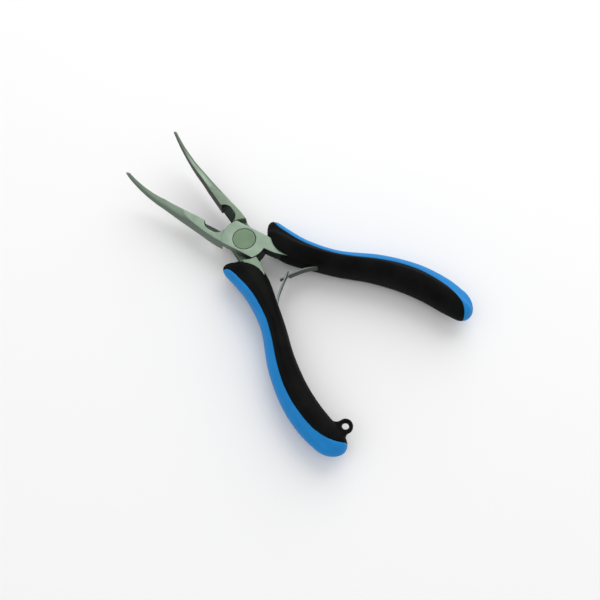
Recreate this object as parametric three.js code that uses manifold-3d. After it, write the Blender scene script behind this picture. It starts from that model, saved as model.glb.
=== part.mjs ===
// Small bent-nose pliers for electronics and electrical work, 150 mm long when closed.
//
// Two forged halves turn on a flush rivet in a half-lap joint. Each half has a jaw on one side of the
// pivot and a handle bar on the other. The jaw tips curve out of the flat of the joint. Each bar carries
// a two-colour grip, and a flat leaf spring from each bar hooks on the other and opens the handles.
//
// Frame: millimetres, pivot axis along Z at x = y = 0, z = 0 on the back face of the joint, +Z out of
// its front face, +Y towards the jaw tips on the line that halves the opening.
//
// Each half is drawn in its own closed position, jaw at x < 0 and handle at x > 0, and centred on the
// joint's mid-plane. The rear half is that drawing mirrored. Groups then mirror, open and lift them.

import * as THREE from "three";
import { mergeVertices } from "three/addons/utils/BufferGeometryUtils.js";
import Module from "manifold-3d";

const wasm = await Module();
wasm.setup();

// ---------------------------------------------------------------- driving dimensions (mm, degrees)
const OPEN_ANGLE = 13.8; // each half from the closed line
const JOINT_THICKNESS = 7.4;
const JOINT_HALF_WIDTH = 5.85;
const LAP_RADIUS = 9.2; // rounded ends of each lap plate
const LAP_CLEARANCE = 0.3; // between a plate's round end and the other half's shoulder
const PLATE_GAP = 0.12; // between the two lap plates
const RIVET_HEAD_RADIUS = 4.65;
const RIVET_SHANK_RADIUS = 3.2;
const RIVET_HEAD_DEPTH = 1.5;
const RIVET_CLEARANCE = 0.16;

const JAW_FACE_GAP = 0.06; // from a gripping face to the closed line
const JAW_RELIEF = 0.2; // the face behind the gripping tip stands back by this much
const JAW_FLAT_END = 29.5; // the flat front face ends, the round nose begins
const BEND_START = 38.7; // the nose starts to curve out of the flat
const BEND_RADIUS = 18;
const BEND_ANGLE = 66;
const TIP_WIDTH = 1.1;
const TIP_HALF_DEPTH = 1.0;

const CUTTER_CENTRE_Y = 14.2;
const CUTTER_HALF_LENGTH = 4.6;
const CUTTER_HALF_WIDTH = 3.4;

const NECK_HALF_WIDTH = 2.75;
const NECK_END_Y = -21;
const NECK_BEVEL_TOP = -1.5; // the bevel at the neck's back starts this far behind the mid-plane
const TANG_HALF_WIDTH = 1.9;
const TANG_HALF_THICKNESS = 2.4;
const GRIP_CLEARANCE = 0.3; // between the steel and the grip moulded over it
const COLOUR_GAP = 0.16; // between a grip's two mouldings

const LEAF_THICKNESS = 0.6;
const LEAF_WIDTH = 3.6;
const TONGUE_WIDTH = 1.1;
const TONGUE_HEAD_WIDTH = 2.4;
const SLOT_WIDTH = 1.8;
const LEAF_RIVET_RADIUS = 0.8;
const LEAF_RIVET_DEPTH = 2.4;

const EYE_CENTRE = new THREE.Vector2(9.2, -87.4);
const EYE_OUTER_RADIUS = 2.9;
const EYE_HOLE_RADIUS = 1.4;
const EYE_THICKNESS = 3.2;

const HALF = JOINT_THICKNESS / 2;
const SHOULDER_RADIUS = LAP_RADIUS + LAP_CLEARANCE;
const FAR = 60; // reaches past any part that a cutting solid has to cross

const rad = THREE.MathUtils.degToRad;
const lerp = THREE.MathUtils.lerp;
const v2 = (x, y) => new THREE.Vector2(x, y);

// ---------------------------------------------------------------- solids
function solid(geometry) {
  const bare = geometry.clone();
  bare.deleteAttribute("normal");
  bare.deleteAttribute("uv");
  const merged = mergeVertices(bare, 1e-4);
  return new wasm.Manifold(
    new wasm.Mesh({
      numProp: 3,
      vertProperties: new Float32Array(merged.attributes.position.array),
      triVerts: new Uint32Array(merged.index.array),
    }),
  );
}

function geometryOf(body) {
  const mesh = body.getMesh();
  const geometry = new THREE.BufferGeometry();
  geometry.setAttribute("position", new THREE.BufferAttribute(mesh.vertProperties, 3));
  geometry.setIndex(new THREE.BufferAttribute(mesh.triVerts, 1));
  geometry.computeVertexNormals();
  return geometry;
}

// A flat outline as a plate from z = low to z = high.
function plate(shape, low, high, curveSegments = 24) {
  const geometry = new THREE.ExtrudeGeometry(shape, {
    depth: high - low,
    bevelEnabled: false,
    curveSegments,
  });
  return solid(geometry.translate(0, 0, low));
}

function disc(radius, low, high, segments = 64) {
  const geometry = new THREE.CylinderGeometry(radius, radius, high - low, segments);
  return solid(geometry.rotateX(Math.PI / 2).translate(0, 0, (low + high) / 2));
}

function box(x0, x1, y0, y1, z0, z1) {
  const geometry = new THREE.BoxGeometry(x1 - x0, y1 - y0, z1 - z0);
  return solid(geometry.translate((x0 + x1) / 2, (y0 + y1) / 2, (z0 + z1) / 2));
}

// A closed skin through rings of equally many points, with a fan over each end. The rings run
// clockwise when seen from the last one.
function loft(rings) {
  const around = rings[0].length;
  const points = rings.flat();
  const triangles = [];
  for (let i = 0; i + 1 < rings.length; i++) {
    for (let j = 0; j < around; j++) {
      const a = i * around + j;
      const b = i * around + ((j + 1) % around);
      triangles.push(a, a + around, b, b, a + around, b + around);
    }
  }
  [0, rings.length - 1].forEach((ring, atEnd) => {
    const centre = new THREE.Vector3();
    rings[ring].forEach((p) => centre.addScaledVector(p, 1 / around));
    points.push(centre);
    for (let j = 0; j < around; j++) {
      const a = ring * around + j;
      const b = ring * around + ((j + 1) % around);
      if (atEnd) triangles.push(a, points.length - 1, b);
      else triangles.push(a, b, points.length - 1);
    }
  });
  const geometry = new THREE.BufferGeometry().setFromPoints(points);
  geometry.setIndex(triangles);
  return solid(geometry);
}

// The value at x of a line through [x, value] pairs, level beyond its ends.
function along(pairs, x) {
  const next = pairs.findIndex((p) => p[0] >= x);
  const i = next < 0 ? pairs.length - 1 : Math.max(1, next);
  const [x0, a] = pairs[i - 1];
  const [x1, b] = pairs[i];
  return lerp(a, b, THREE.MathUtils.clamp((x - x0) / (x1 - x0), 0, 1));
}

// Points beside a curve, offset(t) to its left, t from 0 to 1.
function beside(curve, offset, steps) {
  const points = [];
  for (let i = 0; i <= steps; i++) {
    const t = i / steps;
    const d = curve.getTangentAt(t);
    const normal = v2(-d.y, d.x).multiplyScalar(offset(t));
    points.push(curve.getPointAt(t).add(normal));
  }
  return points;
}

// Outline of a strip of changing width along a curve: halfWidth(t) to each side.
function stripShape(curve, halfWidth, steps) {
  const left = beside(curve, halfWidth, steps);
  const right = beside(curve, (t) => -halfWidth(t), steps).reverse();
  return new THREE.Shape([...left, ...right]);
}

// ---------------------------------------------------------------- jaws
// Where the nose's middle line runs, at a distance s from the pivot: its place in the Y-Z plane and the
// angle at which it climbs out of the flat.
function noseLine(s) {
  const rise = along([[20, 0], [JAW_FLAT_END, 0.2], [BEND_START, 1.1]], s);
  if (s <= BEND_START) return { y: s, z: rise, angle: 0 };
  const angle = (s - BEND_START) / BEND_RADIUS;
  return {
    y: BEND_START + BEND_RADIUS * Math.sin(angle),
    z: rise + BEND_RADIUS * (1 - Math.cos(angle)),
    angle,
  };
}

const NOSE_LENGTH = BEND_START + BEND_RADIUS * rad(BEND_ANGLE);
const JAW_WIDTHS = [
  [0, JOINT_HALF_WIDTH], [10, JOINT_HALF_WIDTH], [20, 5.15], [28, 4.3], [36, 3.3], [44, 2.4], [52, 1.6],
  [NOSE_LENGTH, TIP_WIDTH],
];
const JAW_HALF_DEPTHS = [[0, HALF], [JAW_FLAT_END, 3.5], [BEND_START, 2.7], [NOSE_LENGTH, TIP_HALF_DEPTH]];
const CONE_HALF_DEPTHS = [
  [0, 30], [8, 16], [19, 6.3], [JAW_FLAT_END, 3.5], [BEND_START, 2.7], [NOSE_LENGTH, TIP_HALF_DEPTH],
];

// One D-shaped section: flat gripping face inwards, half a cone outwards, front and back ground flat.
function jawRing(s, arcSteps) {
  const { y, z, angle } = noseLine(s);
  const width = along(JAW_WIDTHS, s);
  const depth = along(JAW_HALF_DEPTHS, s);
  const cone = along(CONE_HALF_DEPTHS, s);
  const steepest = Math.sin(rad(82));
  const sweep = Math.asin(Math.min(depth / cone, steepest));
  const face = JAW_FACE_GAP + (s < BEND_START ? JAW_RELIEF : 0);
  const outline = [[face, -depth * 0.99], [face, depth * 0.99]];
  for (let i = 0; i <= arcSteps; i++) {
    const turn = lerp(sweep, -sweep, i / arcSteps);
    outline.push([width * Math.cos(turn), cone * Math.sin(turn)]);
  }
  return outline.map(
    ([u, v]) => new THREE.Vector3(-u, y - v * Math.sin(angle), z + v * Math.cos(angle)),
  );
}

function jaw() {
  const stations = [0, 6, 12, 16, 20, 23, 26, 28, JAW_FLAT_END, 32, 35, BEND_START, BEND_START + 0.05];
  const bendSteps = 20;
  for (let i = 1; i <= bendSteps; i++) stations.push(lerp(BEND_START, NOSE_LENGTH, i / bendSteps));
  return loft(stations.map((s) => jawRing(s, 24)));
}

// The ground bevel of the side cutter, which leaves the cutting edge on the mid-plane. side is +1 for
// the front bevel and -1 for the back one.
function cutterBevel(side) {
  const reach = 1.3;
  const wedge = new THREE.Shape([
    v2(-JAW_FACE_GAP, 0),
    v2(3, 0),
    v2(3, side * HALF * reach),
    v2(-CUTTER_HALF_WIDTH * reach, side * HALF * reach),
  ]);
  const prism = new THREE.ExtrudeGeometry(wedge, { depth: 2 * CUTTER_HALF_LENGTH, bevelEnabled: false });
  prism.rotateX(Math.PI / 2).translate(0, CUTTER_CENTRE_Y + CUTTER_HALF_LENGTH, 0);
  const oval = new THREE.CylinderGeometry(1, 1, 2 * HALF * reach, 40);
  oval.rotateX(Math.PI / 2).scale(CUTTER_HALF_WIDTH, CUTTER_HALF_LENGTH, 1);
  oval.translate(0, CUTTER_CENTRE_Y, 0);
  return solid(prism).intersect(solid(oval));
}

// ---------------------------------------------------------------- neck and handle bar
const BAR_LINE = new THREE.SplineCurve([
  v2(3.1, -4), v2(3.1, -13), v2(4.6, -21), v2(7.6, -30), v2(10.6, -40),
  v2(15.4, -53), v2(18.1, -65), v2(18.8, -73), v2(18.7, -80),
]);

function barShape(clearance) {
  const widths = [[0, NECK_HALF_WIDTH], [0.12, NECK_HALF_WIDTH], [0.22, TANG_HALF_WIDTH], [1, 1.7]];
  const width = (t) => along(widths, t);
  return stripShape(BAR_LINE, (t) => width(t) + clearance, 40);
}

// The neck's inner edge is ground away at the back. drop moves the bevel back.
function neckBevel(drop) {
  const start = NECK_BEVEL_TOP - drop;
  const profile = new THREE.Shape([
    v2(0.4, start), v2(-2, start), v2(-2, -FAR), v2(FAR + 0.4 + start, -FAR),
  ]);
  const prism = new THREE.ExtrudeGeometry(profile, { depth: 12, bevelEnabled: false });
  return solid(prism.rotateX(Math.PI / 2).translate(0, -LAP_RADIUS, 0));
}

// The neck at the joint's full thickness, then the thinner bar that the grip covers.
function bar(clearance) {
  const shape = barShape(clearance);
  const full = plate(shape, -HALF - clearance, HALF + clearance);
  const neckOnly = box(-FAR, FAR, NECK_END_Y - clearance, FAR, -FAR, FAR);
  const thin = plate(shape, -TANG_HALF_THICKNESS - clearance, TANG_HALF_THICKNESS + clearance);
  return full.intersect(neckOnly).add(thin);
}

// ---------------------------------------------------------------- forged half
// lapSide is +1 where the lap plate is the front one, -1 where it is the back one.
function forgedHalf(lapSide) {
  const round = disc(LAP_RADIUS, -HALF, HALF, 72);
  const sides = box(-JOINT_HALF_WIDTH, JOINT_HALF_WIDTH, -FAR, FAR, -FAR, FAR);
  const far = 2 * HALF;
  const gap = (PLATE_GAP / 2) * lapSide;
  const ownSide = lapSide > 0 ? [gap, far] : [-far, gap];
  const otherSide = lapSide > 0 ? [-far, gap] : [gap, far];
  const lapPlate = round.intersect(sides).intersect(box(-FAR, FAR, -FAR, FAR, ...ownSide));
  const rivet = rivetSolid(RIVET_CLEARANCE);
  return jaw()
    .add(bar(0).subtract(neckBevel(0)))
    .subtract(disc(SHOULDER_RADIUS, ...otherSide, 72))
    .add(lapPlate)
    .subtract(cutterBevel(1))
    .subtract(cutterBevel(-1))
    .subtract(rivet)
    .subtract(leafRivet(RIVET_CLEARANCE));
}

// ---------------------------------------------------------------- pivot rivet
function rivetSolid(clearance) {
  const head = RIVET_HEAD_RADIUS + clearance;
  const shank = RIVET_SHANK_RADIUS + clearance;
  const end = HALF + (clearance > 0 ? 1 : 0);
  const step = HALF - RIVET_HEAD_DEPTH - clearance;
  const profile = [
    v2(0, -end), v2(head, -end), v2(head, -step), v2(shank, -step),
    v2(shank, step), v2(head, step), v2(head, end), v2(0, end),
  ];
  return solid(new THREE.LatheGeometry(profile, 64).rotateX(Math.PI / 2));
}

// ---------------------------------------------------------------- grips
const GRIP_INNER = [
  [0.5, -17.8], [1.1, -22], [3.1, -29.5], [6.2, -41], [10.0, -53],
  [12.3, -65], [12.8, -75], [12.1, -84], [11.8, -89.2],
];
const GRIP_OUTER = [
  [14.5, -8.2], [13.5, -15], [13.0, -24], [15.0, -36.5], [21.0, -50.5],
  [24.1, -61], [25.6, -71], [25.3, -81], [23.9, -87.6],
];
const GRIP_HALF_HEIGHTS = [[0, 6.2], [0.15, 7.0], [0.35, 7.9], [0.7, 7.9], [0.9, 6.6], [1, 5.6]];
const GRIP_TOP_PUSH = v2(-0.1, 6.4); // how far each rounded end stands out of the last section
const GRIP_END_PUSH = v2(-1.1, -7.2);
const GRIP_SQUARENESS = 2.3; // 2 is an ellipse, more is boxier
const GRIP_BACK_STEP = 0.28; // the coloured back is lower than the front by this share

const asSpline = (pairs) => new THREE.SplineCurve(pairs.map(([x, y]) => v2(x, y)));

// A rounded end as steps from its base to its top: how far out each ring is pushed (0 to 1) and how
// much of the base section is left there.
function domeSteps(count, squareness) {
  const steps = [];
  for (let i = 1; i <= count; i++) {
    const turn = rad(lerp(0, 84, i / count));
    steps.push({ out: Math.sin(turn) ** (2 / squareness), scale: Math.cos(turn) ** (2 / squareness) });
  }
  return steps;
}

// One closed section between the grip's inner and outer edges, shrunk by scale and shifted by push.
function gripRing(inner, outer, t, scale, push) {
  const from = inner.getPoint(t);
  const to = outer.getPoint(t);
  const middle = from.clone().add(to).multiplyScalar(0.5).add(push);
  const half = to.clone().sub(from).multiplyScalar(0.5 * scale);
  const height = along(GRIP_HALF_HEIGHTS, t) * scale;
  const ring = [];
  const steps = 48;
  for (let i = 0; i < steps; i++) {
    const turn = (-2 * Math.PI * i) / steps;
    const c = Math.cos(turn);
    const s = Math.sin(turn);
    const u = Math.sign(c) * Math.abs(c) ** (2 / GRIP_SQUARENESS);
    const v = Math.sign(s) * Math.abs(s) ** (2 / GRIP_SQUARENESS);
    const share = 1 - GRIP_BACK_STEP * THREE.MathUtils.smoothstep(u, 0, 0.4);
    ring.push(new THREE.Vector3(middle.x + half.x * u, middle.y + half.y * u, height * v * share));
  }
  return ring;
}

function gripBody() {
  const inner = asSpline(GRIP_INNER);
  const outer = asSpline(GRIP_OUTER);
  const bodySteps = 34;
  const dome = (t, push, squareness) =>
    domeSteps(7, squareness).map(({ out, scale }) =>
      gripRing(inner, outer, t, scale, push.clone().multiplyScalar(out)),
    );
  const rings = dome(0, GRIP_TOP_PUSH, 2.3).reverse();
  for (let i = 0; i <= bodySteps; i++) rings.push(gripRing(inner, outer, i / bodySteps, 1, v2(0, 0)));
  rings.push(...dome(1, GRIP_END_PUSH, 2));
  return loft(rings);
}

// Everything on the back (outer) side of the line where the two colours meet.
const COLOUR_LINE = asSpline([
  [19.4, -4.6], [13.0, -7.2], [10.9, -15], [10.2, -24], [11.5, -35], [14.2, -43.5], [18.0, -53],
  [20.6, -62], [21.6, -71], [20.8, -81], [18.4, -88], [14.8, -92.3], [8, -95.5],
]);

function backRegion(shift) {
  const edge = beside(COLOUR_LINE, () => shift, 60);
  const shape = new THREE.Shape([...edge, v2(8, -2 * FAR), v2(FAR, -2 * FAR), v2(FAR, -5)]);
  return plate(shape, -FAR, FAR);
}

// Lug for a lanyard on the end of a grip, with a round eye.
function lanyardLug() {
  const { x, y } = EYE_CENTRE;
  const r = EYE_OUTER_RADIUS;
  const shape = new THREE.Shape();
  shape.moveTo(15.5, -79);
  shape.lineTo(12.9, -80.5);
  shape.quadraticCurveTo(12.2, -84.4, x + r * Math.cos(rad(80)), y + r * Math.sin(rad(80)));
  shape.absarc(x, y, r, rad(80), rad(290), false);
  shape.quadraticCurveTo(12, -91, 13.9, -93.4);
  shape.lineTo(16.5, -92);
  shape.closePath();
  const hole = new THREE.Path();
  hole.absarc(x, y, EYE_HOLE_RADIUS, 0, 2 * Math.PI, true);
  shape.holes.push(hole);
  const round = 0.9;
  const geometry = new THREE.ExtrudeGeometry(shape, {
    depth: EYE_THICKNESS - 2 * round,
    bevelThickness: round,
    bevelSize: round * 0.7,
    bevelOffset: -round * 0.7,
    bevelSegments: 3,
    curveSegments: 20,
  });
  return solid(geometry.translate(0, 0, -EYE_THICKNESS / 2 + round));
}

function gripCore(body) {
  return body.intersect(backRegion(COLOUR_GAP / 2));
}

function gripCover(body, lug) {
  const steel = bar(GRIP_CLEARANCE).subtract(neckBevel(1.4 * GRIP_CLEARANCE));
  return (lug ? body.add(lug) : body)
    .subtract(backRegion(-COLOUR_GAP / 2))
    .subtract(steel)
    .subtract(leafPocket());
}

// ---------------------------------------------------------------- leaf springs
const HOOK_RADIUS = 23.4; // from the pivot to where the open leaves cross
const HOOK = v2(-Math.sin(rad(OPEN_ANGLE)), -Math.cos(rad(OPEN_ANGLE))).multiplyScalar(HOOK_RADIUS);
const LEAF_END_DIRECTION = v2(-0.8, 0.6);
const LEAF_PAST_HOOK = 3.1;
const fromHook = (distance) => HOOK.clone().addScaledVector(LEAF_END_DIRECTION, distance);
const LEAF_LINE = new THREE.SplineCurve([
  v2(9.3, -43.5), v2(7.25, -37.9), v2(4.8, -32.4), v2(1.4, -28.2),
  fromHook(-4), fromHook(0), fromHook(LEAF_PAST_HOOK),
]);
const LEAF_LENGTH = LEAF_LINE.getLength();
const LEAF_RIVET_AT = 2.4; // from the leaf's fixed end
const HOOK_AT = LEAF_LENGTH - LEAF_PAST_HOOK;

function leafStrip(halfThickness, halfWidth) {
  return plate(stripShape(LEAF_LINE, () => halfThickness, 30), -halfWidth, halfWidth);
}

// A box in the leaf's own directions: a to b along it, low to high across it in Z.
function leafBox(a, b, low, high, thickness) {
  const t = THREE.MathUtils.clamp((a + b) / 2 / LEAF_LENGTH, 0, 1);
  const p = LEAF_LINE.getPointAt(t);
  const d = LEAF_LINE.getTangentAt(t);
  const geometry = new THREE.BoxGeometry(b - a, thickness, high - low);
  geometry.rotateZ(Math.atan2(d.y, d.x)).translate(p.x, p.y, (low + high) / 2);
  return solid(geometry);
}

// Both edges of the leaf cut back to a half width of inner, between a and b along it.
function narrowed(leaf, a, b, inner) {
  const beyond = LEAF_WIDTH;
  return leaf.subtract(leafBox(a, b, inner, beyond, 3)).subtract(leafBox(a, b, -beyond, -inner, 3));
}

// The leaf that ends in a narrow tongue with a cross head.
function tongueLeaf() {
  const strip = leafStrip(LEAF_THICKNESS / 2, LEAF_WIDTH / 2);
  const tongue = narrowed(strip, HOOK_AT - 1.5, HOOK_AT + 1.5, TONGUE_WIDTH / 2);
  return narrowed(tongue, HOOK_AT + 1.4, LEAF_LENGTH + 0.5, TONGUE_HEAD_WIDTH / 2)
    .subtract(leafBox(HOOK_AT + 2.5, LEAF_LENGTH + 0.5, -FAR, FAR, 3))
    .subtract(leafRivet(RIVET_CLEARANCE));
}

// The leaf with the slot that the tongue passes through, and a pointed end.
function slottedLeaf() {
  const pointSteps = 5;
  let leaf = leafStrip(LEAF_THICKNESS / 2, LEAF_WIDTH / 2);
  leaf = leaf.subtract(leafBox(HOOK_AT - 1.5, HOOK_AT + 1.2, -SLOT_WIDTH / 2, SLOT_WIDTH / 2, 3));
  for (let i = 1; i <= pointSteps; i++) {
    const from = HOOK_AT + lerp(1.4, LEAF_PAST_HOOK, i / (pointSteps + 1));
    const inner = lerp(LEAF_WIDTH / 2, 0.3, i / pointSteps);
    leaf = narrowed(leaf, from, HOOK_AT + LEAF_PAST_HOOK + 1, inner);
  }
  return leaf.subtract(leafRivet(RIVET_CLEARANCE));
}

// Room for the leaf and its rivet head inside the grip.
function leafPocket() {
  const head = leafBox(LEAF_RIVET_AT - 2, LEAF_RIVET_AT + 2, -1.9, 1.9, 2.6);
  return leafStrip(LEAF_THICKNESS / 2 + GRIP_CLEARANCE, LEAF_WIDTH / 2 + GRIP_CLEARANCE).add(head);
}

// The rivet that holds the leaf on the bar, head on the leaf's free side.
function leafRivet(clearance) {
  const t = LEAF_RIVET_AT / LEAF_LENGTH;
  const p = LEAF_LINE.getPointAt(t);
  const d = LEAF_LINE.getTangentAt(t);
  const r = LEAF_RIVET_RADIUS + clearance;
  const underHead = LEAF_THICKNESS / 2 + 0.1;
  const foot = -LEAF_RIVET_DEPTH - clearance;
  const profile = [
    v2(0, foot), v2(r, foot), v2(r, underHead),
    v2(1.5, underHead), v2(1.3, underHead + 0.45), v2(0, underHead + 0.55),
  ];
  const geometry = new THREE.LatheGeometry(profile, 20);
  geometry.rotateZ(Math.atan2(d.y, d.x)).translate(p.x, p.y, 0);
  return solid(geometry);
}

// ---------------------------------------------------------------- materials
function finish(color, roughness, metalness) {
  return new THREE.MeshStandardMaterial({ color, roughness, metalness });
}
const SATIN_STEEL = finish(0x98ad99, 0.38, 1);
const RIVET_STEEL = finish(0x829d7e, 0.42, 1);
const SPRING_STEEL = finish(0x6f7d74, 0.35, 1);
const BLACK_RUBBER = finish(0x0b0c0b, 0.75, 0);
const BLUE_PLASTIC = finish(0x1f7fc4, 0.5, 0);

function named(name, body, material) {
  const mesh = new THREE.Mesh(geometryOf(body), material);
  mesh.name = name;
  return mesh;
}

// ---------------------------------------------------------------- assembly
function halfGroup(angle, mirrored, meshes) {
  const drawn = new THREE.Group();
  drawn.scale.x = mirrored ? -1 : 1;
  drawn.add(...meshes);
  const opened = new THREE.Group();
  opened.rotation.z = rad(angle);
  opened.add(drawn);
  return opened;
}

const grip = gripBody();
const pliers = new THREE.Group();
pliers.position.z = HALF;
pliers.add(
  halfGroup(OPEN_ANGLE, false, [
    named("front_lever", forgedHalf(1), SATIN_STEEL),
    named("pivot_rivet", rivetSolid(0), RIVET_STEEL),
    named("right_grip_core", gripCore(grip), BLUE_PLASTIC),
    named("right_grip_cover", gripCover(grip), BLACK_RUBBER),
    named("right_leaf_spring", tongueLeaf(), SPRING_STEEL),
    named("right_spring_rivet", leafRivet(0), SPRING_STEEL),
  ]),
  halfGroup(-OPEN_ANGLE, true, [
    named("rear_lever", forgedHalf(-1), SATIN_STEEL),
    named("left_grip_core", gripCore(grip), BLUE_PLASTIC),
    named("left_grip_cover", gripCover(grip, lanyardLug()), BLACK_RUBBER),
    named("left_leaf_spring", slottedLeaf(), SPRING_STEEL),
    named("left_spring_rivet", leafRivet(0), SPRING_STEEL),
  ]),
);

export default pliers;
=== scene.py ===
"""Small bent-nose pliers with two-colour grips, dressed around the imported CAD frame."""

import math

import bmesh
import bpy
from mathutils import Matrix, Vector
from mathutils.bvhtree import BVHTree


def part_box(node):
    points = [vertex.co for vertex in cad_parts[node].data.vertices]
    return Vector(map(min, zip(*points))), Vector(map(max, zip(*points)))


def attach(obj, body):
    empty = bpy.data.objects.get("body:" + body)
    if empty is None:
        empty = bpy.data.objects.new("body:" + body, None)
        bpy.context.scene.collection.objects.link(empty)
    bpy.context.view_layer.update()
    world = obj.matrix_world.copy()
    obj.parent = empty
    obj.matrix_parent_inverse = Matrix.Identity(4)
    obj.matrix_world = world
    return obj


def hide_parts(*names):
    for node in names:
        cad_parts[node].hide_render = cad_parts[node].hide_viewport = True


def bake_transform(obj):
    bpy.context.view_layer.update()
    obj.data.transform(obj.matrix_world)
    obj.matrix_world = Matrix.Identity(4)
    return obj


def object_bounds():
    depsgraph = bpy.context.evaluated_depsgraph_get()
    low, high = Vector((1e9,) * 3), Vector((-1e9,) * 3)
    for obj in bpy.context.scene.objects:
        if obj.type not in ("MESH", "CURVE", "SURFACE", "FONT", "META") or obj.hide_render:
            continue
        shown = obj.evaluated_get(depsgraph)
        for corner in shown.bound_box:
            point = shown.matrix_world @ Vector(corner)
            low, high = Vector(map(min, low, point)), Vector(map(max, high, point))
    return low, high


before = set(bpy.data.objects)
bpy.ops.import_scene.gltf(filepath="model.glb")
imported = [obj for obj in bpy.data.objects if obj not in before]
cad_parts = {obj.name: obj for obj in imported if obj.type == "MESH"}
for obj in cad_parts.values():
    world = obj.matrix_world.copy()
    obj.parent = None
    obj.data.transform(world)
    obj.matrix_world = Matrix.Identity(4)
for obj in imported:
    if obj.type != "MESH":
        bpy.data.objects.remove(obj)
CAD_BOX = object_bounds()

MM = 0.001

# ---------------------------------------------------------------- camera
VIEW_DIRECTION = math.radians(223.91)  # where the camera stands, turned from +X
VIEW_ELEVATION = math.radians(66.33)
VIEW_ROLL = math.radians(-0.95)
VIEW_DISTANCE = 359.3 * MM
VIEW_AIM = Vector((-3.3, -34.4, 3.7)) * MM
VIEW_LENS = 53.63  # for a 36 mm sensor
CLIP_START = 10 * MM


def direction(turn, rise):
    """The unit vector that is turned from +X by turn and raised from the floor by rise, in radians."""
    return Vector((math.cos(rise) * math.cos(turn), math.cos(rise) * math.sin(turn), math.sin(rise)))


def make_camera():
    back = direction(VIEW_DIRECTION, VIEW_ELEVATION)
    level = Vector((-math.sin(VIEW_DIRECTION), math.cos(VIEW_DIRECTION), 0))
    upright = back.cross(level)
    right = math.cos(VIEW_ROLL) * level + math.sin(VIEW_ROLL) * upright
    up = math.cos(VIEW_ROLL) * upright - math.sin(VIEW_ROLL) * level
    data = bpy.data.cameras.new("camera")
    data.lens = VIEW_LENS
    data.clip_start = CLIP_START
    camera = bpy.data.objects.new("camera", data)
    turn = Matrix((right, up, back)).transposed().to_4x4()
    camera.matrix_world = Matrix.Translation(VIEW_AIM + back * VIEW_DISTANCE) @ turn
    bpy.context.scene.collection.objects.link(camera)
    bpy.context.scene.camera = camera


# ---------------------------------------------------------------- materials
OPEN_ANGLE = math.radians(13.8)  # each half from the closed line
RIVET_LINES = 0.6  # radians that the rivet's grinding lines are turned

# Both halves are the same steel; the rear half's darker face colour is painted shade.
FRONT_FACE = (0.26, 0.34, 0.265, 1)
REAR_FACE_PAINTED_SHADE = (0.205, 0.275, 0.205, 1)
WALL = (0.135, 0.175, 0.145, 1)
# Painted shade on the jaws' gripping faces.
MOUTH_SHADE = (0.02, 0.026, 0.021, 1)
# Painted shade on the cutter's bevels and on the sides behind the joint.
RECESS_SHADE = (0.014, 0.018, 0.016, 1)
RIVET = (0.155, 0.225, 0.15, 1)
SPRING = (0.22, 0.26, 0.23, 1)
SPRING_SIDE = (0.07, 0.085, 0.075, 1)
BLACK = (0.0025, 0.003, 0.0025, 1)
BLUE = (0.006, 0.2, 0.53, 1)

# Each of these pairs gives where a mask is 0 and where it is 1. Places are those of the closed lever.
SIDE_FACING = (0.86, 0.62)  # size of the normal's Z part
ACROSS_FACING = (0.5, 0.78)  # size of the normal's X part
BEFORE_BEND = (34 * MM, 28 * MM)  # along Y
# Where the painted shade on the gripping faces lies.
MOUTH_SHADE_WIDTH = (0.6 * MM, 0.4 * MM)  # from the middle line, along X
MOUTH_SHADE_START = (9.5 * MM, 10.5 * MM)  # along Y
OVAL_RIM = (1.06, 0.98)  # share of the oval's radius
BEHIND_JOINT = (3 * MM, -4 * MM)  # along Y
# Where the painted highlight on the rounded edges starts and is full.
EDGE_HIGHLIGHT = (0.53, 0.63)  # pointiness

# The cutter's ground oval beside the joint, and the scale and shift that make it a unit ball.
OVAL_HALF_WIDTH = 3.5 * MM
OVAL_HALF_LENGTH = 4.7 * MM
OVAL_MIDDLE = 14.2 * MM
OVAL_SCALE = (1 / OVAL_HALF_WIDTH, 1 / OVAL_HALF_LENGTH, 0.0)
OVAL_SHIFT = (0.0, -OVAL_MIDDLE / OVAL_HALF_LENGTH, 0.0)

LINE_STRETCH = (1.0, 0.03, 1.0)  # draws the noise out into grinding lines along Y
LINE_DEPTH = 0.004 * MM
LINE_SHARE = 0.35  # how far the lines go towards the dull tone
DULL_TONE = 0.82
# How light and how strong the painted edge highlight is.
EDGE_HIGHLIGHT_TONE = 1.2
EDGE_HIGHLIGHT_SHARE = 0.3
STEEL_IOR = 1.15  # low, so that the dull sides hardly shine


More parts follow.
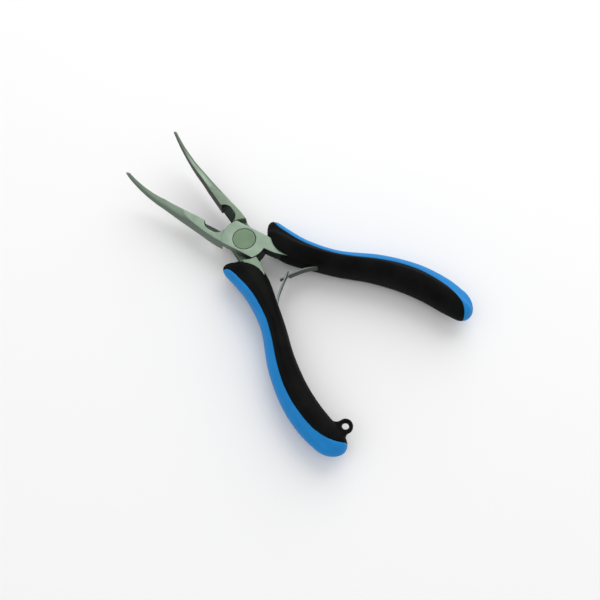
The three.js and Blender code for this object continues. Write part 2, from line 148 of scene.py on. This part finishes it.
class Nodes:
    """A new node material with short ways to add and join nodes."""

    def __init__(self, name):
        self.material = bpy.data.materials.new(name)
        self.material.use_nodes = True
        self.tree = self.material.node_tree
        self.shader = self.tree.nodes["Principled BSDF"]

    def feed(self, socket, value):
        """Link value to the socket if it is a socket too, or else set it there."""
        if isinstance(value, bpy.types.NodeSocket):
            self.tree.links.new(value, socket)
        else:
            socket.default_value = value

    def add(self, kind, inputs=None, **settings):
        node = self.tree.nodes.new(kind)
        for key, value in settings.items():
            setattr(node, key, value)
        for key, value in (inputs or {}).items():
            self.feed(node.inputs[key], value)
        return node

    def set(self, **values):
        for key, value in values.items():
            self.feed(self.shader.inputs[key.replace("_", " ")], value)

    def place(self, turn=0.0, kind="Object"):
        """The object's own coordinates, or its own Normal, turned about Z."""
        where = self.add("ShaderNodeTexCoord").outputs[kind]
        return self.add("ShaderNodeMapping", {"Vector": where, "Rotation": (0, 0, turn)}).outputs["Vector"]

    def parts(self, vector):
        return self.add("ShaderNodeSeparateXYZ", {"Vector": vector}).outputs

    def stretched(self, where, scale, shift=(0, 0, 0)):
        """where times scale, plus shift."""
        inputs = {"Vector": where, "Scale": scale, "Location": shift}
        return self.add("ShaderNodeMapping", inputs).outputs["Vector"]

    def noise(self, where, scale, detail=3.0, roughness=0.5):
        inputs = {"Vector": where, "Scale": scale, "Detail": detail, "Roughness": roughness}
        return self.add("ShaderNodeTexNoise", inputs).outputs["Fac"]

    def ramp(self, value, low, high, to_low=0.0, to_high=1.0):
        inputs = {"Value": value, "From Min": low, "From Max": high, "To Min": to_low, "To Max": to_high}
        return self.add("ShaderNodeMapRange", inputs).outputs["Result"]

    def mix(self, share, first, second):
        node = self.add("ShaderNodeMix", data_type="RGBA")
        # The node has sockets of one name for each data type: 0, 6 and 7 are factor and colours.
        for index, value in ((0, share), (6, first), (7, second)):
            self.feed(node.inputs[index], value)
        return node.outputs[2]

    def math(self, operation, first, second=0.0):
        return self.add("ShaderNodeMath", {0: first, 1: second}, operation=operation).outputs[0]

    def bump(self, height, distance, strength=1.0):
        inputs = {"Height": height, "Distance": distance, "Strength": strength}
        return self.add("ShaderNodeBump", inputs).outputs["Normal"]


def toned(colour, tone, lift=0.0):
    return [min(1.0, c * tone + lift) for c in colour[:3]] + [1]


def steel(name, face, wall, roughness, turn=0.0, jaw=False):
    """Ground steel: bright level faces, dull darker sides, a painted highlight on the edges and fine lines
    along the piece.
    On a jaw, painted shade makes the gripping face, the cutter's bevels and the sides behind the joint
    darker still."""
    n = Nodes(name)
    along = n.place(turn)
    position = n.parts(along)
    facing = n.parts(n.place(turn, "Normal"))
    side = n.ramp(n.math("ABSOLUTE", facing["Z"]), *SIDE_FACING)
    lines = n.noise(n.stretched(along, LINE_STRETCH), scale=5200.0, detail=4.0, roughness=0.6)
    cloud = n.noise(along, scale=160.0, detail=4.0, roughness=0.55)
    dull = toned(face, DULL_TONE)
    ground = n.mix(n.ramp(cloud, 0.35, 0.7), face, dull)
    ground = n.mix(n.math("MULTIPLY", n.ramp(lines, 0.45, 0.75), LINE_SHARE), ground, dull)
    if jaw:
        # Past the bend the ground face tilts, so there only what faces across counts as a side.
        across = n.ramp(n.math("ABSOLUTE", facing["X"]), *ACROSS_FACING)
        before_bend = n.ramp(position["Y"], *BEFORE_BEND)
        side = n.math("MINIMUM", side, n.math("MAXIMUM", across, before_bend))
    colour = n.mix(side, ground, wall)
    if jaw:
        # Painted shade on the gripping faces, near the middle line.
        near_middle = n.ramp(n.math("ABSOLUTE", position["X"]), *MOUTH_SHADE_WIDTH)
        mouth_shade = n.math("MULTIPLY", near_middle, n.ramp(position["Y"], *MOUTH_SHADE_START))
        colour = n.mix(n.math("MULTIPLY", side, mouth_shade), colour, MOUTH_SHADE)
        # Painted shade on the sides within the cutter's oval and behind the joint.
        oval = n.stretched(along, OVAL_SCALE, OVAL_SHIFT)
        radius = n.add("ShaderNodeVectorMath", {0: oval}, operation="LENGTH").outputs["Value"]
        recess_shade = n.math("MAXIMUM", n.ramp(radius, *OVAL_RIM), n.ramp(position["Y"], *BEHIND_JOINT))
        colour = n.mix(n.math("MULTIPLY", side, recess_shade), colour, RECESS_SHADE)
    # Painted highlight: lighter steel on the pointy, rounded edges.
    edge_highlight = n.ramp(n.add("ShaderNodeNewGeometry").outputs["Pointiness"], *EDGE_HIGHLIGHT)
    colour = n.mix(n.math("MULTIPLY", edge_highlight, EDGE_HIGHLIGHT_SHARE), colour, toned(face, EDGE_HIGHLIGHT_TONE))
    n.set(
        Base_Color=colour,
        Metallic=n.ramp(side, 0.0, 1.0, 1.0, 0.0),
        Roughness=n.ramp(lines, 0.3, 0.7, roughness - 0.06, roughness + 0.08),
        IOR=STEEL_IOR,
        Normal=n.bump(lines, LINE_DEPTH, strength=0.6),
    )
    return n.material


def moulded(name, colour, roughness, ior, grain_scale, grain_depth, wear):
    """Moulded plastic or rubber: fine pebbled grain, and faint clouding that lightens the colour by wear."""
    n = Nodes(name)
    where = n.place()
    cloud = n.noise(where, scale=110.0)
    pebbles = n.add("ShaderNodeTexVoronoi", {"Vector": where, "Scale": grain_scale}, feature="SMOOTH_F1")
    n.set(
        Base_Color=n.mix(n.ramp(cloud, 0.35, 0.75), colour, toned(colour, wear, lift=0.004)),
        Roughness=n.ramp(cloud, 0.3, 0.7, roughness - 0.05, roughness + 0.06),
        IOR=ior,
        Normal=n.bump(pebbles.outputs["Distance"], grain_depth),
    )
    return n.material


MATERIALS = {
    "front_steel": steel("front_steel", FRONT_FACE, WALL, roughness=0.44, turn=-OPEN_ANGLE, jaw=True),
    "rear_steel": steel("rear_steel", REAR_FACE_PAINTED_SHADE, WALL, roughness=0.44, turn=OPEN_ANGLE, jaw=True),
    "rivet_steel": steel("rivet_steel", RIVET, WALL, roughness=0.42, turn=RIVET_LINES),
    "spring_steel": steel("spring_steel", SPRING, SPRING_SIDE, roughness=0.34),
    "black_grip": moulded(
        "black_grip", BLACK, roughness=0.6, ior=1.12, grain_scale=2600.0, grain_depth=0.02 * MM, wear=1.5
    ),
    "blue_grip": moulded(
        "blue_grip", BLUE, roughness=0.5, ior=1.28, grain_scale=1900.0, grain_depth=0.008 * MM, wear=1.15
    ),
}

# ---------------------------------------------------------------- pieces
# How each kind of piece is remeshed: voxel size, smoothing steps, and the share of faces kept.
LEVER_MESH = {"voxel": 0.12 * MM, "smoothing": 2, "keep": 0.12}
GRIP_MESH = {"voxel": 0.2 * MM, "smoothing": 14, "keep": 0.12}
LEAF_MESH = {"voxel": 0.14 * MM, "smoothing": 2, "keep": 0.5}

SEAM_REACH = 0.6 * MM

SHANK_SHARE = 0.69  # of the rivet's head
HEAD_DEPTH = 1.5 * MM
HEAD_CHAMFER = 0.14 * MM
HEAD_RINGS = (0.3, 0.6)  # shares of the head's radius
RIVET_STEPS = 128
SAME_POINT = 0.001 * MM


def link(name, data):
    thing = bpy.data.objects.new(name, data)
    bpy.context.scene.collection.objects.link(thing)
    return thing


def apply_modifiers(piece):
    graph = bpy.context.evaluated_depsgraph_get()
    finished = bpy.data.meshes.new_from_object(piece.evaluated_get(graph))
    piece.modifiers.clear()
    piece.data = finished


def refined(node, voxel, smoothing, keep):
    """A finer copy of a CAD node, with every edge softly rounded."""
    piece = link(node + "_skin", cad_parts[node].data.copy())
    remesh = piece.modifiers.new("remesh", "REMESH")
    remesh.mode = "VOXEL"
    remesh.voxel_size = voxel
    smooth = piece.modifiers.new("smooth", "SMOOTH")
    smooth.factor = 0.5
    smooth.iterations = smoothing
    thin = piece.modifiers.new("thin", "DECIMATE")
    thin.ratio = keep
    apply_modifiers(piece)
    for polygon in piece.data.polygons:
        polygon.use_smooth = True
    return piece


def dress(piece, material):
    piece.data.materials.clear()
    piece.data.materials.append(MATERIALS[material])
    return piece


def stand_for(node, body, material, fineness):
    """A finer piece in place of a CAD node that moves with one body."""
    piece = dress(refined(node, **fineness), material)
    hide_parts(node)
    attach(piece, body)
    return piece


def close_seam(piece, neighbour):
    """Draw the points that face a neighbouring CAD node towards it, and the nearest ones the most, so that
    only a hairline stays open."""
    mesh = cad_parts[neighbour].data
    surface = BVHTree.FromPolygons([v.co for v in mesh.vertices], [p.vertices for p in mesh.polygons])
    for vertex in piece.data.vertices:
        spot, _, _, distance = surface.find_nearest(vertex.co, SEAM_REACH)
        if spot:
            vertex.co = vertex.co.lerp(spot, 1 - distance / SEAM_REACH)


def rivet_profile():
    """Half the rivet's section, from the axis at the bottom round to the axis at the top."""
    low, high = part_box("pivot_rivet")
    head = (high.x - low.x) / 2
    shank = head * SHANK_SHARE
    rings = [head * share for share in HEAD_RINGS]
    return [
        (0, low.z),
        *((x, low.z) for x in rings),
        (head - HEAD_CHAMFER, low.z),
        (head, low.z + HEAD_CHAMFER),
        (head, low.z + HEAD_DEPTH),
        (shank, low.z + HEAD_DEPTH),
        (shank, high.z - HEAD_DEPTH),
        (head, high.z - HEAD_DEPTH),
        (head, high.z - HEAD_CHAMFER),
        (head - HEAD_CHAMFER, high.z),
        *((x, high.z) for x in reversed(rings)),
        (0, high.z),
    ]


def make_rivet():
    """The flush rivet: two broad heads with a fine chamfer, and a shank."""
    shape = bmesh.new()
    points = [shape.verts.new((x, 0, z)) for x, z in rivet_profile()]
    edges = [shape.edges.new(pair) for pair in zip(points, points[1:])]
    bmesh.ops.spin(
        shape, geom=points + edges, cent=(0, 0, 0), axis=(0, 0, 1),
        angle=math.tau, steps=RIVET_STEPS, use_merge=True,
    )
    bmesh.ops.remove_doubles(shape, verts=shape.verts[:], dist=SAME_POINT)
    bmesh.ops.recalc_face_normals(shape, faces=shape.faces[:])
    mesh = bpy.data.meshes.new("pivot_rivet_skin")
    shape.to_mesh(mesh)
    shape.free()
    piece = dress(link("pivot_rivet_skin", mesh), "rivet_steel")
    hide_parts("pivot_rivet")
    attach(piece, "front_half")


def make_leaf(node):
    """A leaf spring: a finer copy of the CAD node in spring steel, with its placement baked into its points."""
    piece = dress(refined(node, **LEAF_MESH), "spring_steel")
    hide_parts(node)
    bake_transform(piece)


def make_grip(side, body):
    """The black cover and the blue core of one grip, with the seam between them drawn close."""
    stand_for(f"{side}_grip_cover", body, "black_grip", GRIP_MESH)
    core = stand_for(f"{side}_grip_core", body, "blue_grip", GRIP_MESH)
    close_seam(core, f"{side}_grip_cover")


# ---------------------------------------------------------------- studio
FLOOR_HALF = 3.0
FLOOR_GAP = 0.02 * MM
FLOOR_WHITE = (0.92, 0.92, 0.92, 1)
LIGHT_DISTANCE = 0.9
WORLD_STRENGTH = 0.72


def make_floor():
    z = CAD_BOX[0].z - FLOOR_GAP
    corners = [(x * FLOOR_HALF, y * FLOOR_HALF, z) for x, y in ((-1, -1), (1, -1), (1, 1), (-1, 1))]
    floor_mesh = bpy.data.meshes.new("floor")
    floor_mesh.from_pydata(corners, [], [(0, 1, 2, 3)])
    floor = link("floor", floor_mesh)
    n = Nodes("floor_white")
    n.set(Base_Color=FLOOR_WHITE, Roughness=0.9)
    floor_mesh.materials.append(n.material)


def make_light(name, azimuth, elevation, size, power):
    away = direction(math.radians(azimuth), math.radians(elevation))
    data = bpy.data.lights.new(name, "AREA")
    data.shape = "DISK"
    data.size = size
    data.energy = power
    lamp = link(name, data)
    lamp.location = VIEW_AIM + away * LIGHT_DISTANCE
    lamp.rotation_mode = "QUATERNION"
    lamp.rotation_quaternion = away.to_track_quat("Z", "Y")


def make_world():
    world = bpy.data.worlds.new("studio")
    world.use_nodes = True
    background = world.node_tree.nodes["Background"]
    background.inputs["Color"].default_value = (1, 1, 1, 1)
    background.inputs["Strength"].default_value = WORLD_STRENGTH
    bpy.context.scene.world = world


# ---------------------------------------------------------------- the scene
bpy.context.scene.view_settings.view_transform = "Standard"
make_camera()
make_world()
make_floor()
make_light("key", azimuth=20, elevation=38, size=1.1, power=4.8)
make_light("fill", azimuth=150, elevation=60, size=0.9, power=0.7)

stand_for("front_lever", "front_half", "front_steel", LEVER_MESH)
stand_for("rear_lever", "rear_half", "rear_steel", LEVER_MESH)
for side, body in (("right", "front_half"), ("left", "rear_half")):
    make_grip(side, body)
    make_leaf(f"{side}_leaf_spring")
    hidden_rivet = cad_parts[f"{side}_spring_rivet"]
    hidden_rivet.data.materials[0] = MATERIALS["spring_steel"]
make_rivet()
